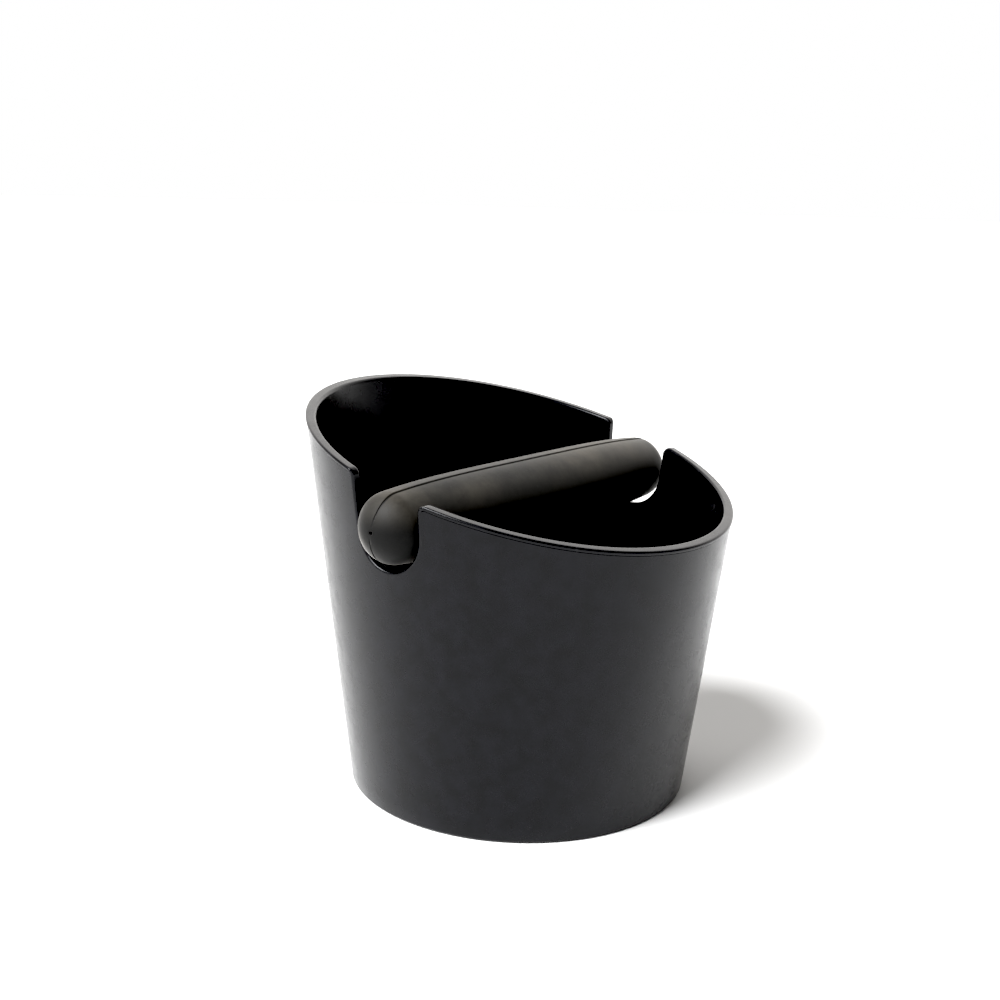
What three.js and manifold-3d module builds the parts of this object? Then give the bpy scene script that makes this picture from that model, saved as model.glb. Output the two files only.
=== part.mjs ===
// Espresso knock box: a tapered moulded tub with a slanted rim and two open notches,
// and a rubber-sleeved knock bar that drops into the notches and lifts out.
// Millimetres. The origin is the centre of the base on the worktop, +Z is up,
// X runs along the bar and +Y points to the tall side of the rim.

import * as THREE from "three";
import { mergeVertices } from "three/addons/utils/BufferGeometryUtils.js";
import Module from "manifold-3d";

// ---- tub ----
const BASE_RADIUS = 65.4;          // outer radius of the wall extended to the worktop
const WALL_SLOPE = 0.1216;         // outer radius gained per millimetre of height
const WALL = 3.6;                  // wall thickness, measured level
const TUB_BOTTOM = 0.4;            // lower edge of the skirt
const FLOOR_UNDERSIDE = 2.8;
const FLOOR_TOP = 6.0;
const FLOOR_FILLET = 5.0;          // inside, where the floor turns up into the wall
const RIM_HEIGHT = 127.63;         // height of the slanted rim plane at the axis
const RIM_SLOPE = 0.2621;          // rim height gained per millimetre towards +Y
const BEAD_OVERHANG = 0.35;        // how far the rim bead stands out of the wall
const BEAD_DEPTH = 1.5;            // height of the bead below the rim plane

// ---- notches for the bar ----
const NOTCH_HALF_WIDTH = 13.2;     // at the centre of the lower arc
const NOTCH_ARC_HEIGHT = 110.6;    // height of the centre of the lower arc
const NOTCH_DRAFT = 0.05;          // half-width gained per millimetre of height
const NOTCH_CORNER = 3.0;          // radius where the notch side turns into the rim

// ---- rubber ring under the base ----
const RING_INNER = 54.0;
const RING_OUTER = 60.8;
const RING_TOP = 2.5;
const SEAT_GAP = 0.3;
const LOCATING_RIB = 1.5;          // rib inside the ring that keeps it in place
const LOCATING_RIB_BOTTOM = 1.0;

// ---- knock bar ----
const BAR_Y = -0.9;                // the bar and its notches sit a little to the low side
const BAR_HEIGHT = 112.4;          // height of the bar's axis
const BAR_RADIUS = 14.55;          // at the middle, where the sleeve is fattest
const BAR_CROWN = 2.9;             // radius lost from the middle to the tips
const BAR_HALF_LENGTH = 86.0;
const END_LENGTH = 10.0;           // length of the rounding at each tip
const PIN_HOLE_RADIUS = 0.6;       // hole in each tip, left by the pin that held the core
const CORE_RADIUS = 6.0;
const CORE_HALF_LENGTH = 74.0;
const CORE_CHAMFER = 0.8;

// ---- facets ----
const TUB_SEGMENTS = 96;
const BAR_SEGMENTS = 48;
const CORE_SEGMENTS = 24;

const wasm = await Module();
wasm.setup();

const Y_TO_Z = new THREE.Matrix4().makeRotationX(Math.PI / 2);
const Y_TO_X = new THREE.Matrix4().makeRotationZ(-Math.PI / 2);

function solid(geometry) {
  const bare = geometry.clone();
  bare.deleteAttribute("normal");
  bare.deleteAttribute("uv");
  const merged = mergeVertices(bare, 1e-5);
  return new wasm.Manifold(new wasm.Mesh({
    numProp: 3,
    vertProperties: new Float32Array(merged.attributes.position.array),
    triVerts: new Uint32Array(merged.index.array),
  }));
}

function geometryOf(manifold) {
  const mesh = manifold.getMesh();
  const geometry = new THREE.BufferGeometry();
  geometry.setAttribute("position", new THREE.BufferAttribute(mesh.vertProperties, 3));
  geometry.setIndex(new THREE.BufferAttribute(mesh.triVerts, 1));
  const flat = geometry.toNonIndexed();
  flat.computeVertexNormals();
  return flat;
}

// A closed ring of [radius, height] points turned about the Z axis.
function turned(points, segments) {
  const profile = points.map(([radius, height]) => new THREE.Vector2(radius, height));
  return new THREE.LatheGeometry(profile, segments).applyMatrix4(Y_TO_Z);
}

function outerRadius(height) {
  return BASE_RADIUS + WALL_SLOPE * height;
}

function rimHeight(y) {
  return RIM_HEIGHT + RIM_SLOPE * y;
}

// A large block whose lower face is the rim plane, moved down by `drop`.
function blockAboveRim(drop) {
  const reach = 120;
  const outline = new THREE.Shape([
    new THREE.Vector2(-reach, rimHeight(-reach) - drop),
    new THREE.Vector2(reach, rimHeight(reach) - drop),
    new THREE.Vector2(reach, 260),
    new THREE.Vector2(-reach, 260),
  ]);
  return extrudedAlongX(outline, reach);
}

// A shape drawn in (Y, Z) and run along X from -reach to +reach.
function extrudedAlongX(outline, reach) {
  const geometry = new THREE.ExtrudeGeometry(outline, {
    depth: 2 * reach,
    bevelEnabled: false,
    curveSegments: 12,
  });
  geometry.translate(0, 0, -reach);
  const axes = new THREE.Matrix4().makeBasis(
    new THREE.Vector3(0, 1, 0),
    new THREE.Vector3(0, 0, 1),
    new THREE.Vector3(1, 0, 0),
  );
  return solid(geometry.applyMatrix4(axes));
}

// Inside profile of the tub from the middle of the floor to the top of the wall.
function insidePoints(topHeight) {
  const points = [[0, FLOOR_TOP]];
  const cornerRadius = outerRadius(FLOOR_TOP) - WALL;
  const steps = 5;
  for (let i = 0; i <= steps; i++) {
    const turn = (i / steps) * Math.PI / 2;
    const radius = cornerRadius - FLOOR_FILLET * (1 - Math.sin(turn));
    const height = FLOOR_TOP + FLOOR_FILLET * (1 - Math.cos(turn));
    points.push([radius + WALL_SLOPE * (height - FLOOR_TOP), height]);
  }
  points.push([outerRadius(topHeight) - WALL, topHeight]);
  return points;
}

function tubBlank() {
  const top = 160;
  const grooveOuter = RING_OUTER + SEAT_GAP;
  const ribOuter = RING_INNER - SEAT_GAP;
  const ribInner = ribOuter - LOCATING_RIB;
  const underside = [
    [0, FLOOR_UNDERSIDE],
    [ribInner, FLOOR_UNDERSIDE],
    [ribInner, LOCATING_RIB_BOTTOM],
    [ribOuter, LOCATING_RIB_BOTTOM],
    [ribOuter, FLOOR_UNDERSIDE],
    [grooveOuter, FLOOR_UNDERSIDE],
    [grooveOuter, TUB_BOTTOM],
    [outerRadius(TUB_BOTTOM) - 0.5, TUB_BOTTOM],
    [outerRadius(TUB_BOTTOM + 0.5), TUB_BOTTOM + 0.5],
    [outerRadius(top), top],
  ];
  const inside = insidePoints(top).reverse();
  return solid(turned([...underside, ...inside], TUB_SEGMENTS));
}

// The shell that the rim bead is cut from: the wall made thicker on the outside.
function beadBlank() {
  const low = 90;
  const high = 160;
  const points = [
    [outerRadius(low) - WALL, low],
    [outerRadius(low) + BEAD_OVERHANG, low],
    [outerRadius(high) + BEAD_OVERHANG, high],
    [outerRadius(high) - WALL, high],
    [outerRadius(low) - WALL, low],
  ];
  return solid(turned(points, TUB_SEGMENTS));
}

// Outline of the notch in (Y, Z): an arc below, drafted sides, and rounded corners
// that run out level with the slanted rim.
function notchOutline() {
  const draftAngle = Math.atan(NOTCH_DRAFT);
  const arcRadius = NOTCH_HALF_WIDTH * Math.cos(draftAngle);
  const arcSteps = 24;
  const points = [];
  for (let i = 0; i <= arcSteps; i++) {
    const turn = -draftAngle - (i / arcSteps) * (Math.PI - 2 * draftAngle);
    points.push(new THREE.Vector2(
      BAR_Y + arcRadius * Math.cos(turn),
      NOTCH_ARC_HEIGHT + arcRadius * Math.sin(turn),
    ));
  }
  points.push(...cornerPoints(-1, draftAngle));
  points.push(...cornerPoints(1, draftAngle).reverse());
  return new THREE.Shape(points);
}

// The rounded corner on one side, from the notch side to a point well above the rim.
function cornerPoints(side, draftAngle) {
  const rimAngle = Math.atan(RIM_SLOPE);
  const outOfSide = new THREE.Vector2(-side * Math.cos(draftAngle), Math.sin(draftAngle));
  const outOfRim = new THREE.Vector2(-Math.sin(rimAngle), Math.cos(rimAngle));
  const onSide = new THREE.Vector2(BAR_Y + side * NOTCH_HALF_WIDTH, NOTCH_ARC_HEIGHT);
  const onRim = new THREE.Vector2(0, RIM_HEIGHT);
  const sideReach = outOfSide.dot(onSide) - NOTCH_CORNER;
  const rimReach = outOfRim.dot(onRim) - NOTCH_CORNER;
  const cross = outOfSide.cross(outOfRim);
  const centre = new THREE.Vector2(
    (sideReach * outOfRim.y - rimReach * outOfSide.y) / cross,
    (rimReach * outOfSide.x - sideReach * outOfRim.x) / cross,
  );
  const fullTurn = -side * Math.acos(outOfSide.dot(outOfRim));
  const origin = new THREE.Vector2(0, 0);
  const steps = 6;
  const points = [];
  for (let i = 0; i <= steps; i++) {
    const spoke = outOfSide.clone().rotateAround(origin, fullTurn * (i / steps));
    points.push(centre.clone().addScaledVector(spoke, NOTCH_CORNER));
  }
  points.push(new THREE.Vector2(points[steps].x, points[steps].y + 20));
  return points;
}

function makeTub() {
  const bead = beadBlank()
    .intersect(blockAboveRim(BEAD_DEPTH));
  return tubBlank()
    .add(bead)
    .subtract(blockAboveRim(0))
    .subtract(extrudedAlongX(notchOutline(), 100));
}

function makeRing() {
  const edge = 0.5;
  const points = [
    [RING_INNER + edge, 0],
    [RING_OUTER - edge, 0],
    [RING_OUTER, edge],
    [RING_OUTER, RING_TOP],
    [RING_INNER, RING_TOP],
    [RING_INNER, edge],
    [RING_INNER + edge, 0],
  ];
  return solid(turned(points, TUB_SEGMENTS));
}

// Bar radius at a distance `inset` from the tip: crowned along its length, with an
// elliptical rounding at the tip.
function barRadius(inset) {
  const crowned = BAR_RADIUS - BAR_CROWN * Math.pow(1 - inset / BAR_HALF_LENGTH, 4);
  const along = 1 - Math.min(inset / END_LENGTH, 1);
  return crowned * Math.sqrt(1 - along * along);
}

// The rubber sleeve: crowned outside, hollow inside for the core, and open through the
// pin hole in each tip.
function makeSleeve() {
  const tipSteps = 12;
  const crownSteps = 10;
  const insets = [];
  for (let i = 0; i <= tipSteps; i++) {
    insets.push(END_LENGTH * (1 - Math.cos((i / tipSteps) * Math.PI / 2)));
  }
  for (let i = 1; i <= crownSteps; i++) {
    const share = Math.pow(i / crownSteps, 1.5);
    insets.push(END_LENGTH + (BAR_HALF_LENGTH - END_LENGTH) * share);
  }
  const outside = insets.map((inset) => [
    Math.max(barRadius(inset), PIN_HOLE_RADIUS),
    inset - BAR_HALF_LENGTH,
  ]);
  const reach = CORE_HALF_LENGTH + SEAT_GAP;
  const boreRadius = CORE_RADIUS + SEAT_GAP;
  const nearHalf = [
    [boreRadius, 0],
    [boreRadius, CORE_CHAMFER - reach],
    [boreRadius - CORE_CHAMFER, -reach],
    [PIN_HOLE_RADIUS, -reach],
    ...outside,
  ];
  const farHalf = nearHalf.slice(1, -1).reverse().map(([radius, along]) => [radius, -along]);
  return turnedAlongBar([...nearHalf, ...farHalf, nearHalf[0]], BAR_SEGMENTS);
}

function makeCore() {
  const points = [
    [0, -CORE_HALF_LENGTH],
    [CORE_RADIUS - CORE_CHAMFER, -CORE_HALF_LENGTH],
    [CORE_RADIUS, -CORE_HALF_LENGTH + CORE_CHAMFER],
    [CORE_RADIUS, CORE_HALF_LENGTH - CORE_CHAMFER],
    [CORE_RADIUS - CORE_CHAMFER, CORE_HALF_LENGTH],
    [0, CORE_HALF_LENGTH],
  ];
  return turnedAlongBar(points, CORE_SEGMENTS);
}

// [radius, along] points turned about the bar's own axis.
function turnedAlongBar(points, segments) {
  const profile = points.map(([radius, along]) => new THREE.Vector2(radius, along));
  const geometry = new THREE.LatheGeometry(profile, segments).applyMatrix4(Y_TO_X);
  return solid(geometry.translate(0, BAR_Y, BAR_HEIGHT));
}

const satinPlastic = { color: 0x17181a, roughness: 0.42, metalness: 0.0 };
const baseRubber = { color: 0x101011, roughness: 0.85, metalness: 0.0 };
const barRubber = { color: 0x1d1c1b, roughness: 0.75, metalness: 0.0 };
const plainSteel = { color: 0x9a9c9e, roughness: 0.35, metalness: 1.0 };

const pieces = [
  ["tub", makeTub(), satinPlastic],
  ["base_grip_ring", makeRing(), baseRubber],
  ["bar_core_rod", makeCore(), plainSteel],
  ["bar_sleeve", makeSleeve(), barRubber],
];

const group = new THREE.Group();
group.name = "espresso_knock_box";
for (const [name, manifold, look] of pieces) {
  const mesh = new THREE.Mesh(geometryOf(manifold), new THREE.MeshStandardMaterial(look));
  mesh.name = name;
  group.add(mesh);
}

export default group;
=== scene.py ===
"""Looks for the espresso knock box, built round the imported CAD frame.

Shapes are worked out in millimetres in the CAD's own frame (X along the bar, +Y to the
tall side of the rim, +Z up) and turned into metres when a mesh is made.
"""

import math

import bpy
from mathutils import Matrix, Vector


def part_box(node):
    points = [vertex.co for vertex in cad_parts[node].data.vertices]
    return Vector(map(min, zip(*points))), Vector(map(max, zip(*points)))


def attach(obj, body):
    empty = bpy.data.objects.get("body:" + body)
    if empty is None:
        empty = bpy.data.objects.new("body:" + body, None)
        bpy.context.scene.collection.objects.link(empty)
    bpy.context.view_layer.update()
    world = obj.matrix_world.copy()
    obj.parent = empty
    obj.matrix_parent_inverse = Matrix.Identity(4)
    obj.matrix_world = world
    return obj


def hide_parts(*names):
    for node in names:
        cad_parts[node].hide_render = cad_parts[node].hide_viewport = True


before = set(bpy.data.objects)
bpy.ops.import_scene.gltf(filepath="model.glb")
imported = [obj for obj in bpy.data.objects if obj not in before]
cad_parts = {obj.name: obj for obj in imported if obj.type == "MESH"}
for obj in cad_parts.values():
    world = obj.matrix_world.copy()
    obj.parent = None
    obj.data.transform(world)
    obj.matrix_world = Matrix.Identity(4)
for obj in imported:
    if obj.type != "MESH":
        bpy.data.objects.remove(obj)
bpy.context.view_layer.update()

MM = 0.001

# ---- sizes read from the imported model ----
tub_low, tub_high = (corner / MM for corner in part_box("tub"))
ring_low, ring_high = (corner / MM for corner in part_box("base_grip_ring"))
bar_low, bar_high = (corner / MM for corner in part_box("bar_sleeve"))
core_low, core_high = (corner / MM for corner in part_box("bar_core_rod"))

TUB_BOTTOM = tub_low.z
BAR_Y = (bar_low.y + bar_high.y) / 2
BAR_HEIGHT = (bar_low.z + bar_high.z) / 2
BAR_RADIUS = (bar_high.z - bar_low.z) / 2
BAR_HALF_LENGTH = bar_high.x
RING_OUTER = ring_high.x
RING_TOP = ring_high.z
CORE_RADIUS = (core_high.z - core_low.z) / 2
CORE_HALF_LENGTH = core_high.x

# ---- sizes the design shares with the CAD ----
BASE_RADIUS = 65.4
WALL_SLOPE = 0.1216
WALL = 3.6
FLOOR_UNDERSIDE = 2.8
FLOOR_TOP = 6.0
FLOOR_FILLET = 5.0
RIM_SLOPE = 0.2621
RIM_HEIGHT = tub_high.z - RIM_SLOPE * tub_high.y
BEAD_OVERHANG = 0.35
BEAD_DEPTH = 1.5
NOTCH_HALF_WIDTH = 13.2
NOTCH_ARC_HEIGHT = 110.6
NOTCH_DRAFT = 0.05
NOTCH_CORNER = 3.0
RING_INNER = 54.0
SEAT_GAP = 0.3
LOCATING_RIB = 1.5
LOCATING_RIB_BOTTOM = 1.0
BAR_CROWN = 2.9
END_LENGTH = 10.0
PIN_HOLE_RADIUS = 0.6

# ---- detail that only the looks have ----
LIP_DEPTH = 1.9            # how far the worked edge of the wall reaches down from its rim
MAPPED_HEIGHT = 60.0       # below this height the wall's columns stand upright
NOTCH_EDGE_OUTSIDE = 1.2   # rounding of the notch edge on the outside of the wall
NOTCH_EDGE_INSIDE = 0.6
BEAD_EDGE_OUTSIDE = 0.75
BEAD_EDGE_INSIDE = 0.9
UNDERCUT = 0.2             # depth of the fine line under the bead
FOOT_ROUNDING = 0.6
SEAM_LEAN = math.radians(9)     # the sleeve's parting plane leans to -Y
SEAM_HALF_WIDTH = 0.7           # along the bar; finer on the rounded tips
SEAM_HALF_WIDTH_AT_TIP = 0.35
SEAM_DEPTH = 0.6
SHARP_ANGLE = math.radians(38)

# ---- how finely the meshes are divided ----
NOTCH_ARC_STEPS = 19
NOTCH_SIDE_STEPS = 13
NOTCH_CORNER_STEPS = 12
RIM_QUARTER_STEPS = 64
ROUNDING_STEPS = 7
RING_COLUMNS = 240
SLEEVE_TIP_STEPS = 30
SLEEVE_BODY_STEPS = 26
SLEEVE_SIDE_STEPS = 58


# ---------------------------------------------------------------- mesh helpers


def spread(low, high, count):
    """`count` values from low to high, both included."""
    return [low + (high - low) * i / (count - 1) for i in range(count)]


def smoothstep(low, high, value):
    t = min(max((value - low) / (high - low), 0.0), 1.0)
    return t * t * (3 - 2 * t)


def ring_faces(row_count, columns, first=0):
    """Quads between successive closed rows of `columns` points each."""
    faces = []
    for i in range(row_count - 1):
        for j in range(columns):
            a = first + i * columns + j
            b = first + i * columns + (j + 1) % columns
            faces.append((a, b, b + columns, a + columns))
    return faces


def mesh_object(name, points, faces):
    """A smooth-shaded mesh object from points in millimetres."""
    mesh = bpy.data.meshes.new(name)
    mesh.from_pydata([tuple(MM * c for c in p) for p in points], [], faces)
    mesh.update()
    mesh.shade_smooth()
    mesh.set_sharp_from_angle(angle=SHARP_ANGLE)
    piece = bpy.data.objects.new(name, mesh)
    bpy.context.scene.collection.objects.link(piece)
    return piece


def capped_rows(rows, low_centre, high_centre):
    """Points and faces of stacked closed rows with a centre point at each end."""
    columns = len(rows[0])
    points = [low_centre]
    for row in rows:
        points.extend(row)
    points.append(high_centre)
    faces = [(0, 1 + (j + 1) % columns, 1 + j) for j in range(columns)]
    faces += ring_faces(len(rows), columns, first=1)
    last = 1 + (len(rows) - 1) * columns
    top = len(points) - 1
    faces += [(last + j, last + (j + 1) % columns, top) for j in range(columns)]
    return points, faces


def store_on_points(piece, name, values):
    """A number on every point of the mesh, for the material to read."""
    attribute = piece.data.attributes.new(name, "FLOAT", "POINT")
    attribute.data.foreach_set("value", values)


# ---------------------------------------------------------------- the tub


def outer_radius(z):
    return BASE_RADIUS + WALL_SLOPE * z


def at_angle(angle, radius, z):
    return Vector((radius * math.cos(angle), radius * math.sin(angle), z))


def rim_point(angle, inset):
    """Where the rim plane meets the cone that is `inset` inside the outer wall."""
    base = BASE_RADIUS - inset
    rise = RIM_SLOPE * math.sin(angle)
    z = (RIM_HEIGHT + rise * base) / (1 - rise * WALL_SLOPE)
    return at_angle(angle, base + WALL_SLOPE * z, z)


def onto_wall(point, inset):
    """The point moved level onto the cone that is `inset` inside the outer wall."""
    radius = outer_radius(point.z) - inset
    return at_angle(math.atan2(point.y, point.x), radius, point.z)


def notch_point(y, z, inset):
    """The point of the +X wall at this y and z."""
    radius = outer_radius(z) - inset
    return Vector((math.sqrt(radius * radius - y * y), y, z))


def half_notch(side):
    """(y, z, share of the rim's section) from the notch's lowest point up to the rim."""
    draft = math.atan(NOTCH_DRAFT)
    rim = math.atan(RIM_SLOPE)
    arc_radius = NOTCH_HALF_WIDTH * math.cos(draft)
    path = []
    for turn in spread(-math.pi / 2, -draft, NOTCH_ARC_STEPS):
        y = BAR_Y + side * arc_radius * math.cos(turn)
        path.append((y, NOTCH_ARC_HEIGHT + arc_radius * math.sin(turn), 0.0))
    out_of_side = Vector((-side * math.cos(draft), math.sin(draft)))
    out_of_rim = Vector((-math.sin(rim), math.cos(rim)))
    on_side = Vector((BAR_Y + side * NOTCH_HALF_WIDTH, NOTCH_ARC_HEIGHT))
    side_reach = out_of_side.dot(on_side) - NOTCH_CORNER
    rim_reach = out_of_rim.dot(Vector((0, RIM_HEIGHT))) - NOTCH_CORNER
    cross = out_of_side.x * out_of_rim.y - out_of_side.y * out_of_rim.x
    centre = Vector((
        (side_reach * out_of_rim.y - rim_reach * out_of_side.y) / cross,
        (rim_reach * out_of_side.x - side_reach * out_of_rim.x) / cross,
    ))
    arc_end = Vector(path[-1][:2])
    corner_start = centre + NOTCH_CORNER * out_of_side
    for t in spread(0, 1, NOTCH_SIDE_STEPS)[1:-1]:
        at = arc_end.lerp(corner_start, t)
        path.append((at.x, at.y, 0.0))
    full_turn = -side * math.acos(out_of_side.dot(out_of_rim))
    for t in spread(0, 1, NOTCH_CORNER_STEPS):
        at = centre + NOTCH_CORNER * (Matrix.Rotation(full_turn * t, 2) @ out_of_side)
        path.append((at.x, at.y, smoothstep(0.2, 0.75, t)))
    return path


def quarter_edge(side):
    """The edge of the +X wall from its notch to the middle of the tall (1) or low (-1)
    side, as (outer point, inner point, share of the rim's section, angle at the foot)."""
    edge = []
    for y, z, share in half_notch(side):
        edge.append((notch_point(y, z, 0), notch_point(y, z, WALL), share))
    outer_from, inner_from = (math.atan2(p.y, p.x) for p in edge[-1][:2])
    for t in spread(0, 1, RIM_QUARTER_STEPS)[1:]:
        outer_angle = outer_from + t * (side * math.pi / 2 - outer_from)
        inner_angle = inner_from + t * (side * math.pi / 2 - inner_from)
        edge.append((rim_point(outer_angle, 0), rim_point(inner_angle, WALL), 1.0))
    lengths = [0.0]
    for before, after in zip(edge, edge[1:]):
        lengths.append(lengths[-1] + (after[0] - before[0]).length)
    quarter = side * math.pi / 2
    return [(*e, quarter * length / lengths[-1]) for e, length in zip(edge, lengths)]


def mirrored(edge):
    """The same stretch of edge on the -X wall."""
    flip = Vector((-1, 1, 1))
    return [(outer * flip, inner * flip, share, math.pi - foot)
            for outer, inner, share, foot in edge]


def whole_edge():
    """The tub's upper edge as a closed loop, counter-clockwise seen from above."""
    tall = quarter_edge(1)
    low = quarter_edge(-1)
    return tall + mirrored(tall)[-2::-1] + mirrored(low)[1:] + low[-2:0:-1]


def arc_section(centre, radius, start, end, count):
    return [(centre[0] + radius * math.cos(a), centre[1] + radius * math.sin(a))
            for a in spread(math.radians(start), math.radians(end), count)]


def rim_section(thickness):
    """(along, down) across the rim: along from the outer wall inwards, down from the
    rim plane. It has the bead and the fine undercut line below it."""
    outside = BEAD_EDGE_OUTSIDE
    inside = BEAD_EDGE_INSIDE
    return [
        (0.0, LIP_DEPTH),
        (0.0, BEAD_DEPTH + 0.22),
        (0.6 * UNDERCUT, BEAD_DEPTH + 0.12),
        (UNDERCUT, BEAD_DEPTH),
        (0.5 * UNDERCUT, BEAD_DEPTH - 0.08),
        (-0.7 * BEAD_OVERHANG, BEAD_DEPTH - 0.14),
        (-BEAD_OVERHANG, BEAD_DEPTH - 0.32),
        *arc_section((outside - BEAD_OVERHANG, outside), outside, 180, 270, ROUNDING_STEPS),
        (0.3 * thickness, 0.0),
        (0.5 * thickness, 0.0),
        (0.7 * thickness, 0.0),
        *arc_section((thickness - inside, inside), inside, 270, 360, ROUNDING_STEPS),
        (thickness, 0.6 * inside + 0.4 * LIP_DEPTH),
        (thickness, LIP_DEPTH),
    ]


def notch_section(thickness):
    """The same points across the edge of a notch, with plainly rounded edges."""
    outside = NOTCH_EDGE_OUTSIDE
    inside = NOTCH_EDGE_INSIDE
    return [
        *[(0.0, down) for down in spread(LIP_DEPTH, outside + 0.1, 7)],
        *arc_section((outside, outside), outside, 180, 270, ROUNDING_STEPS),
        *[(along, 0.0) for along in spread(outside, thickness - inside, 5)[1:-1]],
        *arc_section((thickness - inside, inside), inside, 270, 360, ROUNDING_STEPS),
        (thickness, 0.6 * inside + 0.4 * LIP_DEPTH),
        (thickness, LIP_DEPTH),
    ]


def lip_points(edge):
    """For every entry of the edge, the points of its section from outside to inside."""
    count = len(edge)
    lips = []
    for j, (outer, inner, share, _) in enumerate(edge):
        before = edge[j - 1]
        after = edge[(j + 1) % count]
        across = inner - outer
        thickness = across.length
        inwards = across.normalized()
        down = []
        for k, point in enumerate((outer, inner)):
            facing = Vector((point.x, point.y, -WALL_SLOPE * point.xy.length))
            down.append((after[k] - before[k]).cross(facing).normalized())
        section = []
        for on_rim, on_notch in zip(rim_section(thickness), notch_section(thickness)):
            along = share * on_rim[0] + (1 - share) * on_notch[0]
            depth = share * on_rim[1] + (1 - share) * on_notch[1]
            if along < thickness / 2:
                surface = onto_wall(outer + depth * down[0], 0)
                section.append(surface + along * inwards)
            else:
                surface = onto_wall(inner + depth * down[1], WALL)
                section.append(surface + (along - thickness) * inwards)
        lips.append(section)
    return lips


def wall_columns(edge, tops, inset, heights_below, steps):
    """Rows from the foot of the wall up to the points `tops`, on one face of the wall.

    The columns stand upright up to MAPPED_HEIGHT and lean from there to their own point
    of the edge."""
    rows = [[at_angle(foot, outer_radius(z) - inset, z) for *_, foot in edge]
            for z in heights_below]
    for t in spread(0, 1, steps)[:-1]:
        row = []
        for (*_, foot), top in zip(edge, tops):
            turn = math.remainder(math.atan2(top.y, top.x) - foot, 2 * math.pi)
            share = 1 - (1 - t) ** 1.35
            z = MAPPED_HEIGHT + share * (top.z - MAPPED_HEIGHT)
            row.append(at_angle(foot + share * turn, outer_radius(z) - inset, z))
        rows.append(row)
    return rows


def make_tub():
    """The tub as one closed surface: underside, outside, rim, inside, floor."""
    edge = whole_edge()
    lips = lip_points(edge)

    def level_row(radius, z):
        return [at_angle(foot, radius, z) for *_, foot in edge]

    rib_outer = RING_INNER - SEAT_GAP
    rib_inner = rib_outer - LOCATING_RIB
    groove_outer = RING_OUTER + SEAT_GAP
    underside = [level_row(rib_inner * share, FLOOR_UNDERSIDE) for share in (0.3, 0.65)]
    for radius, z in (
        (rib_inner, FLOOR_UNDERSIDE),
        (rib_inner, LOCATING_RIB_BOTTOM + 0.15),
        (rib_inner + 0.15, LOCATING_RIB_BOTTOM),
        (rib_outer - 0.15, LOCATING_RIB_BOTTOM),
        (rib_outer, LOCATING_RIB_BOTTOM + 0.15),
        (rib_outer, FLOOR_UNDERSIDE),
        (groove_outer, FLOOR_UNDERSIDE),
        (groove_outer, TUB_BOTTOM + 0.2),
        (groove_outer + 0.2, TUB_BOTTOM),
    ):
        underside.append(level_row(radius, z))
    rounding = FOOT_ROUNDING
    for a in spread(-math.pi / 2, 0, 5):
        z = TUB_BOTTOM + rounding * (1 + math.sin(a))
        radius = outer_radius(z) - rounding * (1 - math.cos(a))
        underside.append(level_row(radius, z))

    outside = wall_columns(edge, [lip[0] for lip in lips], 0,
                           spread(TUB_BOTTOM + rounding, MAPPED_HEIGHT, 12)[1:-1], 30)
    lip_rows = [list(row) for row in zip(*lips)]
    inside_foot = FLOOR_TOP + FLOOR_FILLET
    inside = wall_columns(edge, [lip[-1] for lip in lips], WALL,
                          spread(inside_foot, MAPPED_HEIGHT, 8)[:-1], 24)[::-1]
    floor = []
    corner = outer_radius(FLOOR_TOP) - WALL
    for a in spread(math.pi / 2, 0, 8)[1:]:
        rise = FLOOR_FILLET * (1 - math.cos(a))
        radius = corner - FLOOR_FILLET * (1 - math.sin(a)) + WALL_SLOPE * rise
        floor.append(level_row(radius, FLOOR_TOP + rise))
    flat = corner - FLOOR_FILLET
    floor += [level_row(flat * share, FLOOR_TOP) for share in (0.75, 0.5, 0.25)]

    rows = underside + outside + lip_rows + inside + floor
    points, faces = capped_rows(
        rows, Vector((0, 0, FLOOR_UNDERSIDE)), Vector((0, 0, FLOOR_TOP)))
    piece = mesh_object("tub_moulding", points, faces)

    first_lip = 1 + (len(underside) + len(outside)) * len(edge)
    last_lip = first_lip + len(lip_rows) * len(edge)
    store_on_points(piece, "edge_rub", [
        1.0 if first_lip <= i < last_lip else 0.0 for i in range(len(points))])
    return piece


# ---------------------------------------------------------------- grip ring


def make_grip_ring():
    """The rubber ring, rounded where it shows and with a shallow channel in its foot."""
    edge = 0.5
    section = [
        *arc_section((RING_OUTER - edge, edge), edge, -90, 0, 5),
        *arc_section((RING_OUTER - 0.2, RING_TOP - 0.2), 0.2, 0, 90, 3),
        *arc_section((RING_INNER + 0.2, RING_TOP - 0.2), 0.2, 90, 180, 3),
        *arc_section((RING_INNER + edge, edge), edge, 180, 270, 5),
        (RING_INNER + 2.4, 0.0),
        (RING_INNER + 2.6, 0.15),
        (RING_OUTER - 2.6, 0.15),
        (RING_OUTER - 2.4, 0.0),
    ]
    columns = RING_COLUMNS
    angles = [2 * math.pi * j / columns for j in range(columns)]
    points = [at_angle(a, radius, z) for radius, z in section for a in angles]
    faces = ring_faces(len(section), columns)
    last = (len(section) - 1) * columns
    faces += [(last + j, last + (j + 1) % columns, (j + 1) % columns, j)
              for j in range(columns)]
    return mesh_object("grip_ring_moulding", points, faces)


# ---------------------------------------------------------------- bar sleeve


def bar_radius(inset):
    """Radius of the bar at this distance from its tip: crowned, with a rounded tip."""
    crowned = BAR_RADIUS - BAR_CROWN * (1 - inset / BAR_HALF_LENGTH) ** 4
    along = 1 - min(inset / END_LENGTH, 1)
    return crowned * math.sqrt(1 - along * along)


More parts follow.
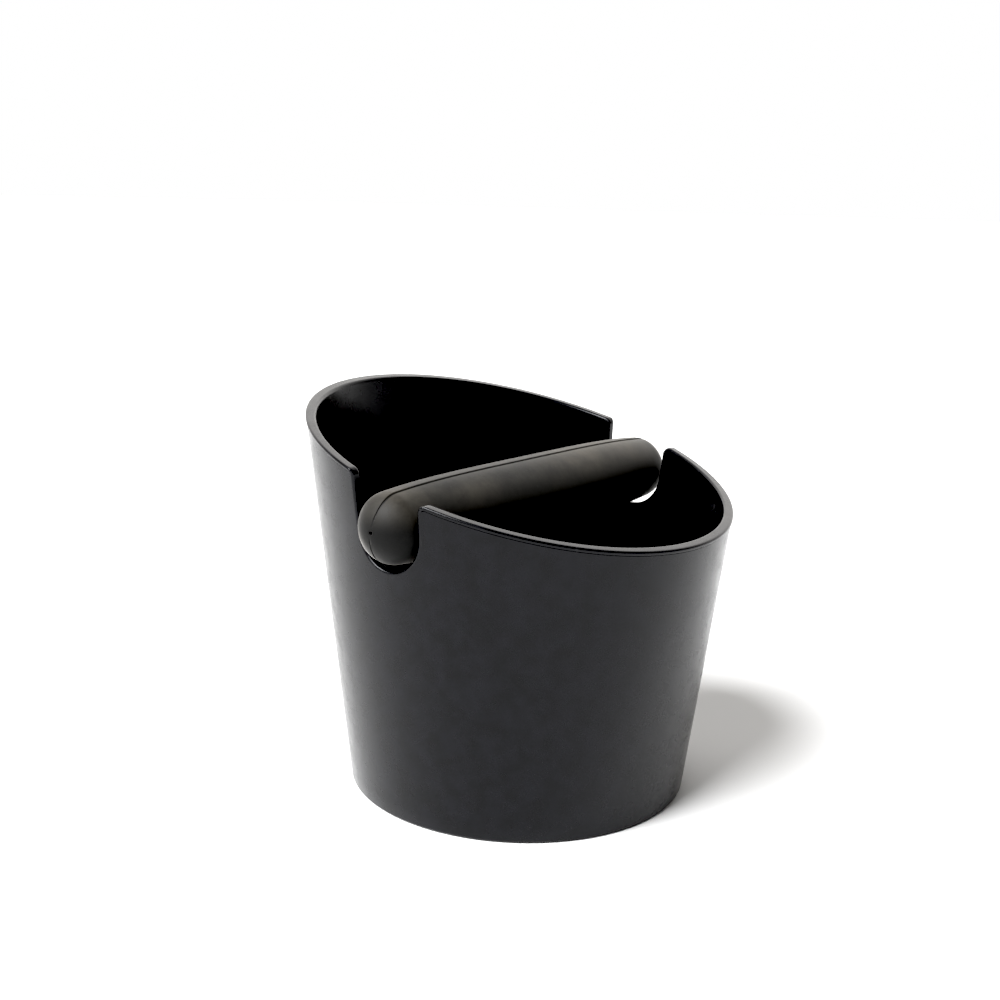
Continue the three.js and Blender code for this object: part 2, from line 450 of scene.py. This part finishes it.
def sleeve_angles(radius):
    """(angle, share of the seam's depth) round the bar, closely spaced at the seam.

    The groove is given in half widths from its middle."""
    fullness = smoothstep(0.5, 0.95, radius / BAR_RADIUS)
    width = SEAM_HALF_WIDTH_AT_TIP
    width += fullness * (SEAM_HALF_WIDTH - SEAM_HALF_WIDTH_AT_TIP)
    half = min(width / radius, math.radians(9))
    groove = [(-2.2, 0.0), (-1.0, 0.0), (-0.5, 0.85), (0.0, 1.0), (0.5, 0.85),
              (1.0, 0.0), (2.2, 0.0)]
    angles = []
    for top in (math.pi / 2 + SEAM_LEAN, 3 * math.pi / 2 + SEAM_LEAN):
        angles += [(top + offset * half, share) for offset, share in groove]
        clear = groove[-1][0] * half
        free = spread(top + clear, top + math.pi - clear, SLEEVE_SIDE_STEPS)[1:-1]
        angles += [(angle, 0.0) for angle in free]
    return angles


def sleeve_row(x, radius, groove_depth):
    """Points round the bar at x, with how deep each lies in the seam as a share."""
    row = []
    shares = []
    for angle, share in sleeve_angles(radius):
        r = radius - groove_depth * share
        row.append(Vector((x, BAR_Y + r * math.cos(angle),
                           BAR_HEIGHT + r * math.sin(angle))))
        shares.append(share if groove_depth else 0.0)
    return row, shares


def make_sleeve():
    """The sleeve round its core: one closed ring of rows from tip to tip and back
    through the bore."""
    outside = []
    for turn in spread(0, math.pi / 2, SLEEVE_TIP_STEPS):
        inset = END_LENGTH * (1 - math.cos(turn))
        radius = bar_radius(inset)
        if radius > PIN_HOLE_RADIUS + 0.5:
            outside.append((BAR_HALF_LENGTH - inset, radius))
    for share in spread(0, 1, SLEEVE_BODY_STEPS)[1:]:
        inset = END_LENGTH + (BAR_HALF_LENGTH - END_LENGTH) * share ** 1.3
        outside.append((BAR_HALF_LENGTH - inset, bar_radius(inset)))
    lip = [
        (BAR_HALF_LENGTH - 0.5, PIN_HOLE_RADIUS),
        (BAR_HALF_LENGTH - 0.15, PIN_HOLE_RADIUS + 0.08),
        (BAR_HALF_LENGTH - 0.02, PIN_HOLE_RADIUS + 0.35),
    ]
    reach = CORE_HALF_LENGTH + SEAT_GAP
    bore = CORE_RADIUS + SEAT_GAP
    inside = [(reach, PIN_HOLE_RADIUS), (reach, bore - 0.5), (reach - 0.5, bore)]
    half = inside[::-1] + lip + outside
    ring = [(-x, radius) for x, radius in half] + half[-2::-1]
    points = []
    painted_seam_shade = []
    clear_of_painted_shade = []
    for x, radius in ring:
        hidden = abs(x) <= reach and radius <= bore
        depth = 0.0 if hidden else SEAM_DEPTH * smoothstep(1.2, 4.0, radius)
        row, shares = sleeve_row(x, radius, depth)
        points += row
        painted_seam_shade += shares
        # 0 from the bar's middle height down, 1 at its top: below, the material paints the
        # sleeve near black as shade
        clear_of_painted_shade += [smoothstep(0.0, 0.95, (p.z - BAR_HEIGHT) / BAR_RADIUS) for p in row]
    columns = len(sleeve_angles(BAR_RADIUS))
    faces = ring_faces(len(ring), columns)
    last = (len(ring) - 1) * columns
    faces += [(last + j, last + (j + 1) % columns, (j + 1) % columns, j)
              for j in range(columns)]
    piece = mesh_object("sleeve_moulding", points, faces)
    # how deep each point lies in the seam groove, used by the material to paint the groove
    # darker as shade
    store_on_points(piece, "painted_seam_shade", painted_seam_shade)
    store_on_points(piece, "clear_of_painted_shade", clear_of_painted_shade)
    return piece


# ---------------------------------------------------------------- materials


class Shader:
    """A material with its Principled shader and short ways to add nodes to it."""

    def __init__(self, name, **sockets):
        self.material = bpy.data.materials.new(name)
        self.material.use_nodes = True
        self.nodes = self.material.node_tree.nodes
        self.links = self.material.node_tree.links
        self.principled = self.nodes["Principled BSDF"]
        for socket, value in sockets.items():
            self.principled.inputs[socket.replace("_", " ")].default_value = value
        self.place = self.nodes.new("ShaderNodeTexCoord").outputs["Object"]

    def link(self, source, node, socket):
        self.links.new(source, node.inputs[socket])

    def noise(self, size, detail=2.0, roughness=0.5, stretch=None):
        """Noise whose features are about `size` metres across."""
        node = self.nodes.new("ShaderNodeTexNoise")
        node.inputs["Scale"].default_value = 1 / size
        node.inputs["Detail"].default_value = detail
        node.inputs["Roughness"].default_value = roughness
        place = self.place
        if stretch:
            mapping = self.nodes.new("ShaderNodeMapping")
            mapping.inputs["Scale"].default_value = stretch
            self.link(place, mapping, "Vector")
            place = mapping.outputs["Vector"]
        self.link(place, node, "Vector")
        return node.outputs["Fac"]

    def remap(self, value, from_low, from_high, to_low, to_high):
        node = self.nodes.new("ShaderNodeMapRange")
        for socket, number in (("From Min", from_low), ("From Max", from_high),
                               ("To Min", to_low), ("To Max", to_high)):
            node.inputs[socket].default_value = number
        self.link(value, node, "Value")
        return node.outputs["Result"]

    def attribute(self, name):
        node = self.nodes.new("ShaderNodeAttribute")
        node.attribute_name = name
        return node.outputs["Fac"]

    def maths(self, operation, first, second):
        node = self.nodes.new("ShaderNodeMath")
        node.operation = operation
        for socket, value in ((0, first), (1, second)):
            if isinstance(value, (int, float)):
                node.inputs[socket].default_value = value
            else:
                self.link(value, node, socket)
        return node.outputs["Value"]

    def mix(self, share, first, second):
        """Colour between two values, each a colour or another node's output."""
        node = self.nodes.new("ShaderNodeMix")
        node.data_type = "RGBA"
        self.link(share, node, "Factor")
        colours = [s for s in node.inputs if s.type == "RGBA"]
        for socket, value in zip(colours, (first, second)):
            if isinstance(value, tuple):
                socket.default_value = (*value, 1.0)
            else:
                self.links.new(value, socket)
        return next(s for s in node.outputs if s.type == "RGBA")

    def bump(self, height, depth, strength=1.0, under=None):
        """Relief `depth` metres deep from a height of 0 to 1."""
        node = self.nodes.new("ShaderNodeBump")
        node.inputs["Distance"].default_value = depth
        node.inputs["Strength"].default_value = strength
        self.link(height, node, "Height")
        if under:
            self.link(under, node, "Normal")
        return node.outputs["Normal"]

    def finish(self, colour, roughness, normal):
        self.link(colour, self.principled, "Base Color")
        self.link(roughness, self.principled, "Roughness")
        self.link(normal, self.principled, "Normal")
        return self.material


def tub_plastic():
    s = Shader("satin_black_plastic", Specular_IOR_Level=0.25,
               Specular_Tint=(0.96, 0.965, 1.0, 1.0))
    grain = s.noise(0.00035, detail=2)
    cloud = s.noise(0.007, detail=5, roughness=0.6)
    scuffs = s.noise(0.0035, detail=4, roughness=0.6, stretch=(1, 1, 0.25))
    share = s.remap(cloud, 0.38, 0.62, 0.0, 1.0)
    dark = s.mix(share, (0.0001, 0.0001, 0.0002), (0.0020, 0.0020, 0.0030))
    scuff_share = s.remap(scuffs, 0.62, 0.78, 0.0, 0.35)
    worn = s.maths("MULTIPLY", scuff_share, s.attribute("edge_rub"))
    colour = s.mix(worn, dark, (0.03, 0.03, 0.032))
    roughness = s.remap(s.noise(0.006, detail=4), 0.3, 0.7, 0.22, 0.30)
    normal = s.bump(grain, 0.00002, 0.6)
    normal = s.bump(s.noise(0.018, detail=1), 0.00012, 0.25, under=normal)
    return s.finish(colour, roughness, normal)


def bar_rubber():
    s = Shader("bar_rubber", Specular_IOR_Level=0.22, Sheen_Weight=0.42,
               Sheen_Roughness=0.3, Sheen_Tint=(1.0, 0.97, 0.92, 1.0))
    bloom = s.noise(0.009, detail=5, roughness=0.62)
    dust = s.noise(0.0012, detail=3, roughness=0.7)
    share = s.remap(bloom, 0.35, 0.7, 0.0, 1.0)
    base = s.mix(share, (0.0050, 0.0048, 0.0043), (0.0270, 0.0255, 0.0222))
    patches = s.remap(s.noise(0.045, detail=1), 0.45, 0.7, 0.0, 1.0)
    dusty = s.mix(s.maths("MULTIPLY", patches, bloom), base, (0.090, 0.079, 0.062))
    specks = s.remap(dust, 0.62, 0.76, 0.0, 0.4)
    speckled = s.mix(specks, dusty, (0.060, 0.056, 0.049))
    # Painted shade: the lower half of the bar is painted near black where it turns from the
    # light; dust and the rubber's own tone show only on the upper half
    with_painted_underside_shade = s.mix(s.attribute("clear_of_painted_shade"), (0.0010, 0.0010, 0.0009), speckled)
    # Painted shade: the seam groove is painted near black on top of its real depth
    colour = s.mix(s.attribute("painted_seam_shade"), with_painted_underside_shade, (0.002, 0.002, 0.002))
    roughness = s.remap(bloom, 0.3, 0.7, 0.56, 0.70)
    normal = s.bump(s.noise(0.0005, detail=3), 0.00005, 0.6)
    normal = s.bump(s.noise(0.006, detail=2), 0.0002, 0.3, under=normal)
    return s.finish(colour, roughness, normal)


def ring_rubber():
    s = Shader("base_rubber", Specular_IOR_Level=0.3)
    mottle = s.noise(0.004, detail=4)
    colour = s.mix(mottle, (0.008, 0.008, 0.008), (0.014, 0.014, 0.014))
    roughness = s.remap(mottle, 0.3, 0.7, 0.75, 0.9)
    normal = s.bump(s.noise(0.0004, detail=2), 0.00004, 0.6)
    return s.finish(colour, roughness, normal)


def core_steel():
    s = Shader("core_steel", Metallic=1.0)
    lines = s.noise(0.0004, detail=3, stretch=(0.03, 1, 1))
    colour = s.mix(lines, (0.50, 0.51, 0.52), (0.62, 0.63, 0.64))
    roughness = s.remap(lines, 0.3, 0.7, 0.24, 0.36)
    normal = s.bump(lines, 0.00001, 0.5)
    return s.finish(colour, roughness, normal)


# ---------------------------------------------------------------- the object

tub = make_tub()
tub.data.materials.append(tub_plastic())
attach(tub, "tub")
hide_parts("tub")

grip_ring = make_grip_ring()
grip_ring.data.materials.append(ring_rubber())
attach(grip_ring, "tub")
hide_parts("base_grip_ring")

sleeve = make_sleeve()
sleeve.data.materials.append(bar_rubber())
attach(sleeve, "knock_bar")
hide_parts("bar_sleeve")

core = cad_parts["bar_core_rod"]
core.material_slots[0].material = core_steel()


# ---------------------------------------------------------------- the studio

CAMERA_AZIMUTH = math.radians(-51.856)
CAMERA_TILT = math.radians(12.587)
CAMERA_ROLL = math.radians(1.511)
CAMERA_AT = Vector((-0.40088, -0.30275, 0.22184))
LENS_MM = 48.37
FLOOR_REACH = 30000.0
FILM_BLACK = 0.016         # light that the film doesn't record
KEY_STRENGTH = 8.9
KEY_WIDTH = 42             # degrees across, as the object sees it
KEY_COLOUR = (0.985, 0.99, 1.0)
FRONT_LIGHT = 0.06
SCREEN_LIGHT = 2.5
OVERHEAD_SHARE = 0.8
AIR_COLOUR = (1.0, 0.98, 0.955, 1.0)
WHITE = (1.0, 1.0, 1.0, 1.0)


def studio_direction(right, away, up):
    """A direction given as the camera sees it: to its right, away from it, up."""
    turn = Matrix.Rotation(CAMERA_AZIMUTH, 3, "Z")
    return (turn @ Vector((right, away, up))).normalized()


def make_floor():
    """A wide paper floor, finer near the object."""
    marks = [0.0, 120.0, 300.0, 800.0, 2400.0, 8000.0, FLOOR_REACH]
    marks = [-m for m in marks[:0:-1]] + marks
    points = [Vector((x, y, 0.0)) for y in marks for x in marks]
    side = len(marks)
    faces = []
    for i in range(side - 1):
        for j in range(side - 1):
            a = i * side + j
            faces.append((a, a + 1, a + side + 1, a + side))
    return mesh_object("studio_floor", points, faces)


def studio_paper():
    s = Shader("studio_paper", Specular_IOR_Level=0.1)
    tone = s.mix(s.noise(0.12), (0.87, 0.87, 0.865), (0.89, 0.89, 0.885))
    roughness = s.remap(s.noise(0.01), 0.3, 0.7, 0.85, 0.95)
    return s.finish(tone, roughness, s.bump(s.noise(0.0008), 0.00003, 0.3))


def soft_light(name, direction, strength, width, colour):
    """A soft source so far off that it lights the whole floor alike."""
    data = bpy.data.lights.new(name, "SUN")
    data.energy = strength
    data.angle = math.radians(width)
    data.color = colour
    light = bpy.data.objects.new(name, data)
    light.rotation_euler = (-direction).to_track_quat("-Z", "Y").to_euler()
    bpy.context.scene.collection.objects.link(light)


class Air:
    """The light of the room: a pale screen behind the object, a dim front, and plain
    white where the camera looks past the floor."""

    def __init__(self):
        self.world = bpy.data.worlds.new("studio_air")
        self.world.use_nodes = True
        self.nodes = self.world.node_tree.nodes
        self.links = self.world.node_tree.links

    def smooth(self, value, from_low, from_high, to_low, to_high):
        node = self.nodes.new("ShaderNodeMapRange")
        node.interpolation_type = "SMOOTHSTEP"
        for socket, number in (("From Min", from_low), ("From Max", from_high),
                               ("To Min", to_low), ("To Max", to_high)):
            node.inputs[socket].default_value = number
        self.links.new(value, node.inputs["Value"])
        return node.outputs["Result"]

    def facing(self, way, direction):
        node = self.nodes.new("ShaderNodeVectorMath")
        node.operation = "DOT_PRODUCT"
        node.inputs[1].default_value = direction
        self.links.new(way, node.inputs[0])
        return node.outputs["Value"]

    def multiply(self, first, second):
        node = self.nodes.new("ShaderNodeMath")
        node.operation = "MULTIPLY"
        self.links.new(first, node.inputs[0])
        self.links.new(second, node.inputs[1])
        return node.outputs["Value"]

    def build(self, front, screen, overhead):
        """`front` and `screen` are the light from before and behind the object, and
        `overhead` is the share of it that is left straight above."""
        way = self.nodes.new("ShaderNodeTexCoord").outputs["Generated"]
        backward = self.facing(way, studio_direction(0, 1, 0))
        upward = self.facing(way, Vector((0, 0, 1)))
        level = self.smooth(backward, 0.1, 0.9, front, screen)
        fading = self.smooth(upward, 0.45, 0.95, 1.0, overhead)
        lighting = self.nodes["Background"]
        self.links.new(self.multiply(level, fading), lighting.inputs["Strength"])
        lighting.inputs["Color"].default_value = AIR_COLOUR
        seen = self.nodes.new("ShaderNodeBackground")
        seen.inputs["Color"].default_value = WHITE
        seen.inputs["Strength"].default_value = 1.0
        switch = self.nodes.new("ShaderNodeMixShader")
        rays = self.nodes.new("ShaderNodeLightPath")
        self.links.new(rays.outputs["Is Camera Ray"], switch.inputs["Fac"])
        self.links.new(lighting.outputs["Background"], switch.inputs[1])
        self.links.new(seen.outputs["Background"], switch.inputs[2])
        surface = self.nodes["World Output"].inputs["Surface"]
        self.links.new(switch.outputs["Shader"], surface)
        return self.world


floor = make_floor()
floor.data.materials.append(studio_paper())

key_from = studio_direction(-0.57, -0.39, 0.72)
soft_light("key_softbox", key_from, KEY_STRENGTH, KEY_WIDTH, KEY_COLOUR)
bpy.context.scene.world = Air().build(FRONT_LIGHT, SCREEN_LIGHT, OVERHEAD_SHARE)

camera_data = bpy.data.cameras.new("camera")
camera_data.lens = LENS_MM
camera_data.sensor_width = 36.0
camera_data.clip_start = 0.01
camera_data.clip_end = 100.0
camera = bpy.data.objects.new("camera", camera_data)
bpy.context.scene.collection.objects.link(camera)
look = (Matrix.Rotation(CAMERA_AZIMUTH, 4, "Z")
        @ Matrix.Rotation(math.pi / 2 - CAMERA_TILT, 4, "X")
        @ Matrix.Rotation(CAMERA_ROLL, 4, "Z"))
camera.matrix_world = Matrix.Translation(CAMERA_AT) @ look
bpy.context.scene.camera = camera

view = bpy.context.scene.view_settings
view.view_transform = "Standard"
view.use_curve_mapping = True
view.curve_mapping.black_level = (FILM_BLACK, FILM_BLACK, FILM_BLACK)
view.curve_mapping.update()
